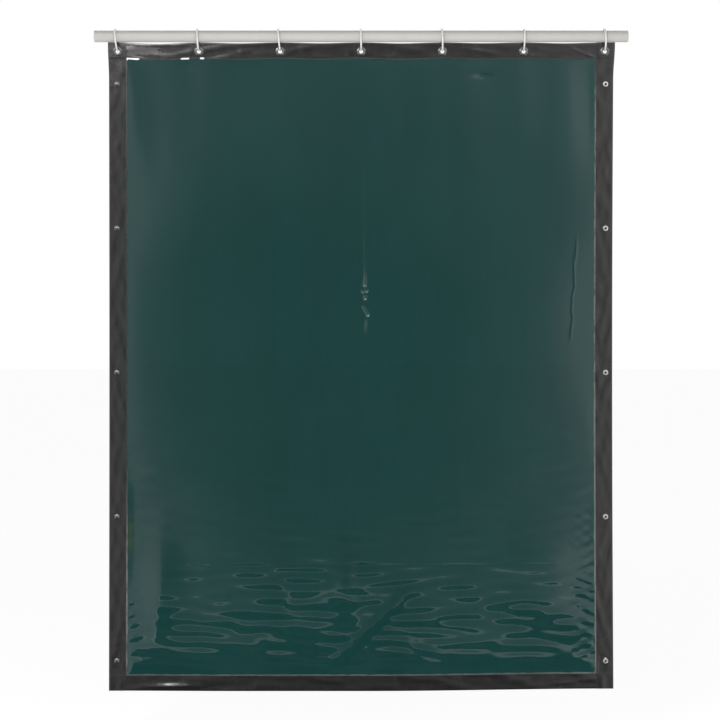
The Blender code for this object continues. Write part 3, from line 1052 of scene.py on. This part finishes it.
@dataclass
class Hem:
    """A black strip folded over one edge of the film, with its weld line.

    The end hems are thinner and slide inside the side hems, as the film does. half is half the
    folded thickness, leaf one layer's; lumps are (middle, half-length) of swellings in the weld.
    """

    edge: Edge
    node: str
    body: str
    features: tuple[Feature, ...] = ()
    half: float = 0.00095
    leaf: float = 0.00035
    along: float = 0.0060
    across: float = 0.0038
    bead: float = 0.0042
    bead_lift: float = 0.00023
    bead_tuck: float = 0.001
    bead_step: float = 0.0045
    wavers: int = 90
    overlap: float = 0.00018
    lap_length: float = 0.0006
    tuck: float = 0.004
    inner_band: float = 0.0090
    drill: float = 0.0077
    shank_drill: float = 0.0027
    flange_clear: Point2 = (0.0130, 0.0185)
    cap_clear: Point2 = (0.0085, 0.0130)
    ragged: float = 0.0007
    seed: int = 1
    lumps: tuple[Point2, ...] = ()

    @property
    def upright(self) -> bool:
        """True for a side hem."""
        return self.edge in (Edge.LEFT, Edge.RIGHT)

    @property
    def width(self) -> float:
        """The hem's width, in from its edge."""
        return PLAN.side_hem if self.upright else PLAN.end_hem

    def span(self) -> tuple[float, float]:
        """Where the hem starts and ends along its edge."""
        if self.upright:
            return PLAN.bottom, PLAN.top
        return PLAN.left + PLAN.side_hem - self.tuck, PLAN.right - PLAN.side_hem + self.tuck

    def flat(self, inward: np.ndarray, along: np.ndarray) -> tuple[np.ndarray, np.ndarray]:
        """Where a point lies on the flat curtain, from how far in and how far along it is."""
        if self.edge is Edge.LEFT:
            return PLAN.left + inward, along
        if self.edge is Edge.RIGHT:
            return PLAN.right - inward, along
        if self.edge is Edge.TOP:
            return along, PLAN.top - inward
        return along, PLAN.bottom + inward

    def path(self) -> np.ndarray:
        """The folded strip's middle line, as rows of how far in, how far across, and its normal."""
        fine = self.width - self.inner_band
        count = max(2, round((fine - self.half) / self.across))
        run = np.concatenate([np.linspace(self.width, fine, 9)[:-1],
                              np.linspace(fine, self.half, count + 1)])
        middle = self.half - self.leaf / 2
        bend = np.linspace(math.pi * 1.5, math.pi / 2, 8)
        rows = [(u, -middle, 0.0, -1.0) for u in run[:-1]]
        rows += [(self.half + middle * math.cos(a), middle * math.sin(a), math.cos(a), math.sin(a))
                 for a in bend]
        rows += [(u, middle, 0.0, 1.0) for u in run[-2::-1]]
        return np.array(rows)

    def relief(self, x: np.ndarray, z: np.ndarray) -> np.ndarray:
        """How far the strip's outside stands proud, none under a flange or a cap."""
        raw = sum((f.height(x, z) for f in self.features), np.zeros_like(x))
        clear = np.ones_like(x)
        for eyelet in PLAN.eyelets:
            clear *= eased(np.hypot(x - eyelet.x, z - eyelet.z), *self.flange_clear)
        for snap_x, snap_z in PLAN.fasteners():
            clear *= eased(np.hypot(x - snap_x, z - snap_z), *self.cap_clear)
        # Hollows stop short of the strip's inner layer.
        return np.maximum(raw, -0.00012 - 0.00004 * np.tanh(raw / 0.0002)) * clear

    def lap(self, z: np.ndarray) -> np.ndarray:
        """How much prouder a side hem stands at its ends, where the end strips lap it."""
        if not self.upright:
            return np.zeros_like(z)
        low, high = PLAN.bottom + PLAN.end_hem, PLAN.top - PLAN.end_hem
        lapped = eased(z, low + self.lap_length, low) + eased(z, high - self.lap_length, high)
        return self.overlap * lapped

    def body_shape(self) -> Shape:
        """The folded strip along its whole edge, with its holes."""
        low, high = self.span()
        fine = []
        if self.upright:
            fine = [(place, self.lap_length * 1.5, self.lap_length)
                    for place in (PLAN.bottom + PLAN.end_hem, PLAN.top - PLAN.end_hem)]
        for hole_x, hole_z, radius in self.drills():
            fine.append((hole_z if self.upright else hole_x, radius * 1.4, radius * 0.45))
        along = stations(low, high, self.along, fine)
        path = self.path()
        u, t = np.meshgrid(path[:, 0], along)
        x, z, keep = cut_holes(*self.flat(u, t), self.drills())
        proud = self.relief(x, z) + self.lap(z)
        layers = []
        nothing = np.zeros(len(path))
        zero_x, zero_z = self.flat(nothing, nothing)
        for out in (0.5, -0.5):
            nudge_x, nudge_z = self.flat(path[:, 2] * self.leaf * out, nothing)
            hung_x, hung_z = HANG.place(x + nudge_x - zero_x, z + nudge_z - zero_z)
            y = path[:, 1] + path[:, 3] * (self.leaf * out + proud * (out > 0))
            layers.append(np.stack([hung_x, y, hung_z], axis=-1))
        return closed_sheet(layers[0], layers[1], keep)

    def bead_shape(self, side: int) -> Shape:
        """The weld line on the film beside the strip; side is -1 at the front, 1 at the rear."""
        low, high = self.span()
        if self.upright:
            low = low + PLAN.end_hem - self.bead_tuck
            high = high - PLAN.end_hem + self.bead_tuck
        along = stations(low, high, self.bead_step)
        draw = np.random.default_rng(self.seed + side)
        waver = draw.uniform(-self.ragged, self.ragged, self.wavers)
        reach = self.bead + np.interp(along, np.linspace(low, high, self.wavers), waver)
        if self.upright:
            reach = reach + self._fillet(np.minimum(along - low, high - along))
        swollen = sum((eased(np.abs(along - middle), half, half * 0.5)
                       for middle, half in self.lumps), np.zeros_like(along))
        tucked, share, crown, lump = np.array(BEAD_SECTION).T
        rise = crown * MM + self.bead_lift + swollen[:, None] * lump * MM
        u = self.width + (tucked * MM + share * reach[:, None])
        t = np.broadcast_to(along[:, None], u.shape)
        x, z = self.flat(u, t)
        y = HANG.film_height(x, z) + side * rise
        hung_x, hung_z = HANG.place(x, z)
        points = np.stack([hung_x, y, hung_z], axis=-1).reshape(-1, 3)
        faces = tube_faces(len(along), len(BEAD_SECTION), closed=False)
        return Shape(points, faces, [1] * len(faces))

    @staticmethod
    def _fillet(distance: np.ndarray, radius: float = 0.013) -> np.ndarray:
        """How much wider the weld line is near a corner, which it rounds off."""
        left = np.clip(radius - distance, 0, radius)
        return radius - np.sqrt(radius ** 2 - left ** 2)

    def drills(self) -> list[Triple]:
        """(x, z, radius) of each hole in the strip."""
        held = {Edge.LEFT: PLAN.eyelets[:1], Edge.RIGHT: PLAN.eyelets[-1:],
                Edge.TOP: PLAN.eyelets[1:-1], Edge.BOTTOM: ()}[self.edge]
        side = {Edge.LEFT: -1, Edge.RIGHT: 1}.get(self.edge)
        shanks = [(x, z, self.shank_drill) for x, z in PLAN.fasteners() if side and x * side > 0]
        return [(eyelet.x, eyelet.z, self.drill) for eyelet in held] + shanks

    def build(self) -> bpy.types.Object:
        """Makes the hem and puts it in its node's stead."""
        shape = self.body_shape().joined(self.bead_shape(-1)).joined(self.bead_shape(1))
        return make_piece(self.node + "_strip", self.node, self.body, shape, VINYL, BEAD, weld=1e-7)


# ---------------------------------------------------------------- hardware


@dataclass
class Rail:
    """The tube that everything hangs from."""

    wall: float = 0.002
    sides: int = 144
    chamfer: float = 0.0004

    def build(self) -> bpy.types.Object:
        """Makes the tube with softened ends."""
        low, high = node_box("rail_tube")
        radius = (high.z - low.z) / 2
        inner = radius - self.wall
        stops = np.linspace(low.x, high.x, 15)[1:-1]
        wall = rounded([(radius, low.x, self.chamfer), *[(radius, x, 0) for x in stops],
                        (radius, high.x, self.chamfer), (inner, high.x, self.chamfer / 2),
                        (inner, low.x, self.chamfer / 2)])
        turn = Matrix.Rotation(math.radians(-90), 4, "Z")
        shape = lathe(wall, self.sides).moved(turn)
        return make_piece("rail", "rail_tube", "rail", shape, RAIL_PAINT, sharp_deg=40)


@dataclass
class SnapRing:
    """A moulded ring whose catch closes at the rear."""

    number: int
    lean_deg: float
    radius: float = 0.0292
    strand: float = 0.0025
    jaw: float = 0.0035
    jaw_length: float = 0.006
    slit: float = 0.0006
    seam: float = 0.00010
    around: int = 24
    steps: int = 96

    def stations(self) -> list[tuple[float, float]]:
        """(angle from the rear, strand's radius) of each section, from one jaw to the other."""
        start = self.slit / 2 / self.radius
        end = start + self.jaw_length / self.radius
        taper = end + self.strand * 1.1 / self.radius
        nose = 0.0006 / self.radius
        jaw = [(start, self.jaw * 0.80), (start + nose * 0.4, self.jaw * 0.93),
               (start + nose, self.jaw), (end - nose * 3, self.jaw), (end, self.jaw * 0.95),
               ((end + taper) / 2, self.strand * 1.12)]
        run = np.linspace(taper, math.tau - taper, self.steps + 1)
        back = [(math.tau - angle, size) for angle, size in reversed(jaw)]
        return jaw + [(float(angle), self.strand) for angle in run] + back

    def shape(self) -> Shape:
        """The ring about its own middle, in the YZ plane."""
        turns = np.arange(self.around) * math.tau / self.around
        ridge = self.seam * (np.abs(np.sin(turns)) < 1e-6)
        stops = self.stations()
        rings = []
        for angle, size in stops:
            out = self.radius + (size + ridge) * np.cos(turns)
            side = (size + ridge) * np.sin(turns)
            rings.append(np.stack([side, out * math.cos(angle), out * math.sin(angle)], axis=-1))
        points = np.vstack(rings)
        return Shape(points, tube_faces(len(stops), self.around, closed=False))

    def build(self) -> bpy.types.Object:
        """Makes the ring, leaning about the point where it holds its eyelet."""
        node = f"ring_{self.number}"
        foot = Vector((PLAN.eyelets[self.number - 1].x, 0, node_box(node)[0].z + self.strand))
        lean = Matrix.Rotation(math.radians(-self.lean_deg), 4, "Y")
        place = Matrix.Translation(foot) @ lean @ Matrix.Translation((0, 0, self.radius))
        return make_piece("snap_" + node, node, node, self.shape().moved(place), NYLON)


@dataclass
class Eyelet:
    """An eyelet with a rolled mouth, and the washer that it is closed over.

    seat is how far its flange and its washer reach in, from the curtain's middle plane; hem is
    where the hem's rear face lies, which sets how far out the washer's own rear face is.
    """

    number: int
    body: str
    hole: float = 0.0055
    mouth: float = 0.0032
    flange: float = 0.0125
    barrel: float = 0.0074
    lip: float = 0.0095
    seat: float = 0.0016
    hem: float = 0.0016
    washer: float = 0.0006
    sides: int = 64

    def eyelet_outline(self) -> list[Point2]:
        """Rolled mouth, domed front flange with a turned-down rim, barrel and rear lip."""
        crest = self.hole + self.mouth
        turns = [math.radians(270 - 180 * k / 16) for k in range(17)]
        roll = [(crest + self.mouth * math.cos(a), self.mouth * math.sin(a)) for a in turns]
        under = self.hem + self.washer + TOUCH_GAP
        rest = rounded([(self.lip, self.mouth, 0.0004), (self.lip, under, 0.0001),
                        (self.barrel, under, 0), (self.barrel, -self.seat, 0),
                        (self.flange, -self.seat, 0.0002), (self.flange, -0.00240, 0.0005),
                        (self.flange - 0.0011, -0.00285, 0.0003),
                        (self.flange - 0.0015, -0.00300, 0.0002),
                        (self.flange - 0.0024, -0.00316, 0.0004)])
        return roll + rest

    def washer_outline(self) -> list[Point2]:
        """A flat washer with a turned-down rim."""
        rear, inner = self.hem + self.washer, self.barrel + TOUCH_GAP
        return rounded([(inner, self.seat, 0), (self.flange, self.seat, 0.0001),
                        (self.flange, rear - 0.00015, 0.00025), (self.flange - 0.0009, rear, 0.0003),
                        (inner, rear, 0.0001)])

    def build(self) -> list[bpy.types.Object]:
        """Makes the eyelet and its washer."""
        place = Matrix.Translation(PLAN.eyelets[self.number - 1] * Vector((1, 0, 1)))
        made = []
        outlines = {"eyelet": self.eyelet_outline(), "eyelet_washer": self.washer_outline()}
        for kind, outline in outlines.items():
            node = f"{kind}_{self.number}"
            shape = lathe(outline, self.sides).moved(place)
            made.append(make_piece(node + "_turned", node, self.body, shape, BLACK_METAL))
        return made


class Half(Enum):
    """The pieces of the press fasteners: cap and socket on the left hem, stud and post on the right."""

    CAP = "snap_cap"
    SOCKET = "snap_socket"
    STUD = "snap_stud"
    POST = "snap_post"


@dataclass
class Fastener:
    """One piece of a press fastener, on the front or the rear of a side hem."""

    half: Half
    number: int
    seat: float = 0.0016
    base: float = 0.0024
    shank: float = 0.0024
    shank_hole: float = 0.0027
    rivet: float = 0.0030
    head: float = 0.0006
    sides: int = 56

    def outline(self) -> list[Point2]:
        """The piece's closed outline, as radius and distance to the rear."""
        return {Half.CAP: self._cap, Half.SOCKET: self._socket,
                Half.STUD: self._stud, Half.POST: self._post}[self.half]()

    def _cap(self) -> list[Point2]:
        """A domed cap with a rolled rim, and its riveted shank."""
        radius, rim, top = 0.00775, -0.0023, -0.0046
        rise = rim - top
        big = radius ** 2 / 2 / rise + rise / 2
        half_angle = math.asin(radius * 0.94 / big)
        turns = [half_angle * k / 12 for k in range(13)]
        dome = [(big * math.sin(turn), top + big * (1 - math.cos(turn))) for turn in turns]
        tail = self.base + TOUCH_GAP
        end = tail + self.head
        rest = rounded([(radius, rim + 0.0001, 0.0003), (radius, -self.seat, 0.00015),
                        (self.shank, -self.seat, 0), (self.shank, tail, 0),
                        (self.rivet, tail, 0.0001), (self.rivet, end, 0.0003)])
        return [*dome, *rest, (0.0, end)]

    def _socket(self) -> list[Point2]:
        """A cup with a lipped mouth and a turned-out foot."""
        outer, mouth, end = 0.00625, 0.0045, 0.0062
        return rounded([(self.shank_hole, self.seat, 0), (outer, self.seat, 0.0002),
                        (outer, 0.0026, 0.0003), (outer - 0.0004, 0.0031, 0.0003),
                        (outer - 0.0004, end - 0.0011, 0.0003),
                        (outer, end - 0.0008, 0.0003), (outer, end, 0.0004), (mouth, end, 0.0003),
                        (mouth, end - 0.0008, 0.0002), (mouth + 0.0003, end - 0.0010, 0.0001),
                        (mouth + 0.0003, self.base, 0.0003), (self.shank_hole, self.base, 0.0001)])

    def _stud(self) -> list[Point2]:
        """A plate with a rolled rim, and a waisted hollow knob."""
        plate, neck, knob, hollow, front = 0.00725, 0.0040, 0.0043, 0.0033, -0.0050
        return rounded([(self.shank_hole, -self.seat, 0), (plate, -self.seat, 0.00015),
                        (plate, -self.base, 0.0003), (plate - 0.0012, -self.base - 0.00012, 0.0004),
                        (plate - 0.0018, -self.base, 0.0004), (neck, -self.base, 0.0002),
                        (knob, -0.0037, 0.0006), (neck, front, 0.00035), (hollow, front, 0.00025),
                        (hollow, -self.base, 0.0003), (self.shank_hole, -self.base, 0)])

    def _post(self) -> list[Point2]:
        """A hollow rivet, closed at the rear, with a rolled flange."""
        bore, flange, tip = 0.0019, 0.0060, -0.0033
        neck, floor = tip + self.head, self.base - 0.0004
        wall = rounded([(bore, floor, 0.0003), (bore, tip, 0.0003), (self.rivet, tip, 0.00025),
                        (self.rivet, neck, 0), (self.shank, neck, 0), (self.shank, self.seat, 0),
                        (flange, self.seat, 0.0001), (flange, self.base, 0.0004)])
        return [(0.0, floor), *wall, (0.0, self.base)]

    def build(self) -> bpy.types.Object:
        """Makes the piece and puts it in its node's stead."""
        left = self.half in (Half.CAP, Half.SOCKET)
        # Posts take the darkened nickel: painted shade for the studs' hollow centres.
        finish = {Half.CAP: BLACK_METAL, Half.POST: POST_NICKEL_PAINTED_SHADE}.get(self.half, NICKEL)
        side, body = (-1, "curtain") if left else (1, "leading_edge")
        place = Matrix.Translation((side * PLAN.snap_x, 0, PLAN.snaps[self.number - 1]))
        node = f"{self.half.value}_{self.number}"
        shape = lathe(self.outline(), self.sides).moved(place)
        return make_piece(node + "_turned", node, body, shape, finish)


# ---------------------------------------------------------------- the curtain as a whole


TOP_WRINKLES: tuple[Feature, ...] = (
    Chop(41, (0.06, 0.30), (0.018, 0.050), 0.030),
    Ripples((-0.350, -0.040), (0.050, 0.010), 9, 0.024, 0.06, phase=1.2),
    Ripples((0.330, -0.038), (0.050, 0.010), -9, 0.026, 0.06, phase=0.2),
    Ripples((0.610, -0.040), (0.055, 0.014), -24, 0.014, 0.13, phase=0.9),
)
TOP_LUMPS: tuple[Point2, ...] = ((-0.633, 0.019), (-0.489, 0.012), (-0.4415, 0.007), (0.648, 0.006))
SIDE_WRINKLES: tuple[Feature, ...] = (
    Chop(52, (0.020, 0.060), (0.050, 0.200), 0.016),
    Chop(77, (0.030, 0.100), (0.010, 0.030), 0.010),
)
BOTTOM_WRINKLES: tuple[Feature, ...] = (
    Chop(63, (0.08, 0.40), (0.020, 0.060), 0.030),
    Swell((-0.522, -1.8035), (0.052, 0.0066), 0.0044),
    Ripples((0.020, -1.790), (0.020, 0.012), 45, 0.018, 0.12),
    Ripples((0.560, -1.795), (0.070, 0.012), 6, 0.030, 0.09, phase=1.0),
)
RING_LEANS_DEG = (6.0, 4.0, 5.0, 1.5, 1.5, -1.5, 1.5)


@dataclass
class Curtain:
    """The film, its four hems, the eyelets and the press fasteners."""

    gather: float = 0.3
    film_gather: float = 0.288
    side_half: float = 0.00135
    eyelet_seat: float = 0.0010
    end_eyelet_seat: float = 0.00157

    def hems(self) -> dict[Edge, Hem]:
        """The four hems, not yet built."""
        return {
            Edge.TOP: Hem(Edge.TOP, "top_hem", "curtain", TOP_WRINKLES, seed=3, lumps=TOP_LUMPS),
            Edge.BOTTOM: Hem(Edge.BOTTOM, "bottom_hem", "curtain", BOTTOM_WRINKLES,
                             across=0.0024, seed=7),
            Edge.LEFT: Hem(Edge.LEFT, "left_hem", "curtain", SIDE_WRINKLES,
                           half=self.side_half, seed=11),
            Edge.RIGHT: Hem(Edge.RIGHT, "right_hem", "leading_edge", SIDE_WRINKLES,
                            half=self.side_half, seed=17),
        }

    def build(self) -> None:
        """Builds it all, and gives the film and the end hems meshes of their own."""
        film = FilmSheet().build()
        hems = {edge: hem.build() for edge, hem in self.hems().items()}
        gathers = ((film, self.film_gather), (hems[Edge.TOP], self.gather),
                   (hems[Edge.BOTTOM], self.gather))
        for soft, keep in gathers:
            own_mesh(soft)
        ends = {RING_NUMBERS[0]: "curtain", RING_NUMBERS[-1]: "leading_edge"}
        for number in RING_NUMBERS:
            seat = self.end_eyelet_seat if number in ends else self.eyelet_seat
            Eyelet(number, ends.get(number, f"eyelet_{number}"), seat=seat).build()
        for half in Half:
            for number in SNAP_NUMBERS:
                Fastener(half, number).build()


# ---------------------------------------------------------------- floor, light and camera


@dataclass
class Studio:
    """A plain white studio: pale floor, soft light from all round, and two soft boxes.

    For mirrored rays it is a room: room_near is how far off its side walls start, and floor_fall
    how steeply its dark floor's edge falls away to each side.
    """

    floor_z: float = -1.961
    floor_half: float = 400.0
    distance: float = 4.995
    aim_x: float = -0.0033
    aim_z: float = -0.898
    lens: float = 90.0
    room_near: float = 0.12
    floor_fall: float = 1.258

    def floor(self) -> None:
        """A pale matt floor."""
        half = self.floor_half
        corners = [(-half, -half), (half, -half), (half, half), (-half, half)]
        mesh = bpy.data.meshes.new("floor")
        mesh.from_pydata([(x, y, self.floor_z) for x, y in corners], [], [(0, 1, 2, 3)])
        mesh.materials.append(FLOOR.material())
        floor = add_object("floor", mesh)
        floor.visible_glossy = False

    def sky(self) -> None:
        """White walls, and for reflections a room with a dark floor and lit side walls."""
        world = bpy.data.worlds.new("studio")
        bpy.context.scene.world = world
        world.use_nodes = True
        nodes = Nodes(world.node_tree)
        across, up = nodes.split(nodes.place("Generated"))
        walls = [(-0.50, 0.8), (-0.35, (0.9, 0.9, 0.89)), (-0.20, (0.90, 0.90, 0.89)),
                 (-0.145, (0.74, 0.74, 0.72)), (-0.124, (0.66, 0.66, 0.65)), (-0.112, 0.36),
                 (-0.090, 0.20), (-0.045, 0.13), (0.0, 0.12), (0.040, 0.15), (0.090, 0.28),
                 (0.110, (0.42, 0.42, 0.41)), (0.1215, (0.64, 0.63, 0.61)),
                 (0.128, (0.88, 0.86, 0.83)), (0.150, (1.00, 0.98, 0.95)),
                 (0.200, (1.30, 1.28, 1.24)), (0.350, (1.3, 1.28, 1.25)), (0.50, 0.9)]
        heights = [(-0.110, 0.0), (-0.098, 0.06), (-0.090, 0.04), (-0.082, 0.0), (-0.072, 0.04),
                   (-0.064, 0.0), (-0.040, 0.0), (-0.032, 0.03), (-0.024, 0.0), (0.050, 0.0),
                   (0.100, 0.08), (0.145, 0.17), (0.170, 0.22), (0.300, 0.34), (0.320, 2.4),
                   (0.430, 2.4), (0.450, 0.80), (0.500, 0.85)]
        spread = nodes.add("ShaderNodeMath", {"operation": "MAXIMUM"},
                           {0: abs(across), 1: self.room_near})
        over_floor = up + spread * self.floor_fall
        skirting = over_floor.step(0.0100, 0.0050) * 0.55 + over_floor.step(0.060, 0.006) * 0.15
        boards = over_floor.step(0.0, -0.022, 0.08, 0.19) * over_floor.step(-0.0205, -0.024, 1.0, 0.5)
        wall = nodes.ramp(across, walls) + nodes.ramp(up, heights) + skirting
        seen = wall * over_floor.step(-0.0008, 0.0008) + boards
        glossy, reflected, soft = (nodes.add("ShaderNodeLightPath", output=f"Is {ray} Ray")
                                   for ray in ("Glossy", "Reflection", "Diffuse"))
        mirrored = glossy * reflected
        lit = nodes.blend(soft, (1.0, 1.0, 1.0), up.step(0.10, 0.75, 0.95, 0.20))
        lit = nodes.blend(mirrored, lit, seen)
        background = nodes.add("ShaderNodeBackground", None, {"Color": lit, "Strength": 1.0})
        nodes.add("ShaderNodeOutputWorld", None, {"Surface": background})

    def soft_box(self, name: str, place: Sequence[float], aim: Sequence[float], size: float,
                 power: float, mirrored: bool = True) -> None:
        """A square soft light that faces a point.

        Args:
            name: The light's name.
            place: Where it stands.
            aim: The point that it faces.
            size: The length of its sides.
            power: Its power in watts.
            mirrored: False hides it from reflections.
        """
        light = bpy.data.lights.new(name, "AREA")
        light.size = size
        light.energy = power
        lamp = add_object(name, light)
        lamp.location = place
        lamp.rotation_mode = "QUATERNION"
        lamp.rotation_quaternion = (Vector(aim) - Vector(place)).to_track_quat("-Z", "Y")
        lamp.visible_glossy = lamp.visible_transmission = mirrored

    def camera(self) -> None:
        """The camera, square to the curtain at half its height."""
        data = bpy.data.cameras.new("camera")
        data.lens = self.lens
        data.sensor_width = 36.0
        data.clip_end = 200
        camera = add_object("camera", data)
        camera.location = (self.aim_x, -self.distance, self.aim_z)
        camera.rotation_euler = (math.radians(90), 0, 0)
        bpy.context.scene.camera = camera

    def build(self) -> None:
        """Sets up floor, light and camera."""
        self.floor()
        self.sky()
        self.soft_box("key_box", (-1.3, -3.4, 1.25), (0, 0, -0.7), 0.8, 33)
        self.soft_box("low_fill", (0.0, -2.6, -1.6), (0, 0, 0), 1.6, 84, mirrored=False)
        self.camera()
        bpy.context.scene.view_settings.view_transform = "Standard"


def main() -> None:
    """Builds the studio, then the rail, the rings and the curtain."""
    logging.basicConfig(level=logging.INFO, format="%(name)s: %(message)s")
    Studio().build()
    Rail().build()
    for number, lean in enumerate(RING_LEANS_DEG, start=1):
        SnapRing(number, lean).build()
    Curtain().build()


if __name__ == "__main__":
    main()
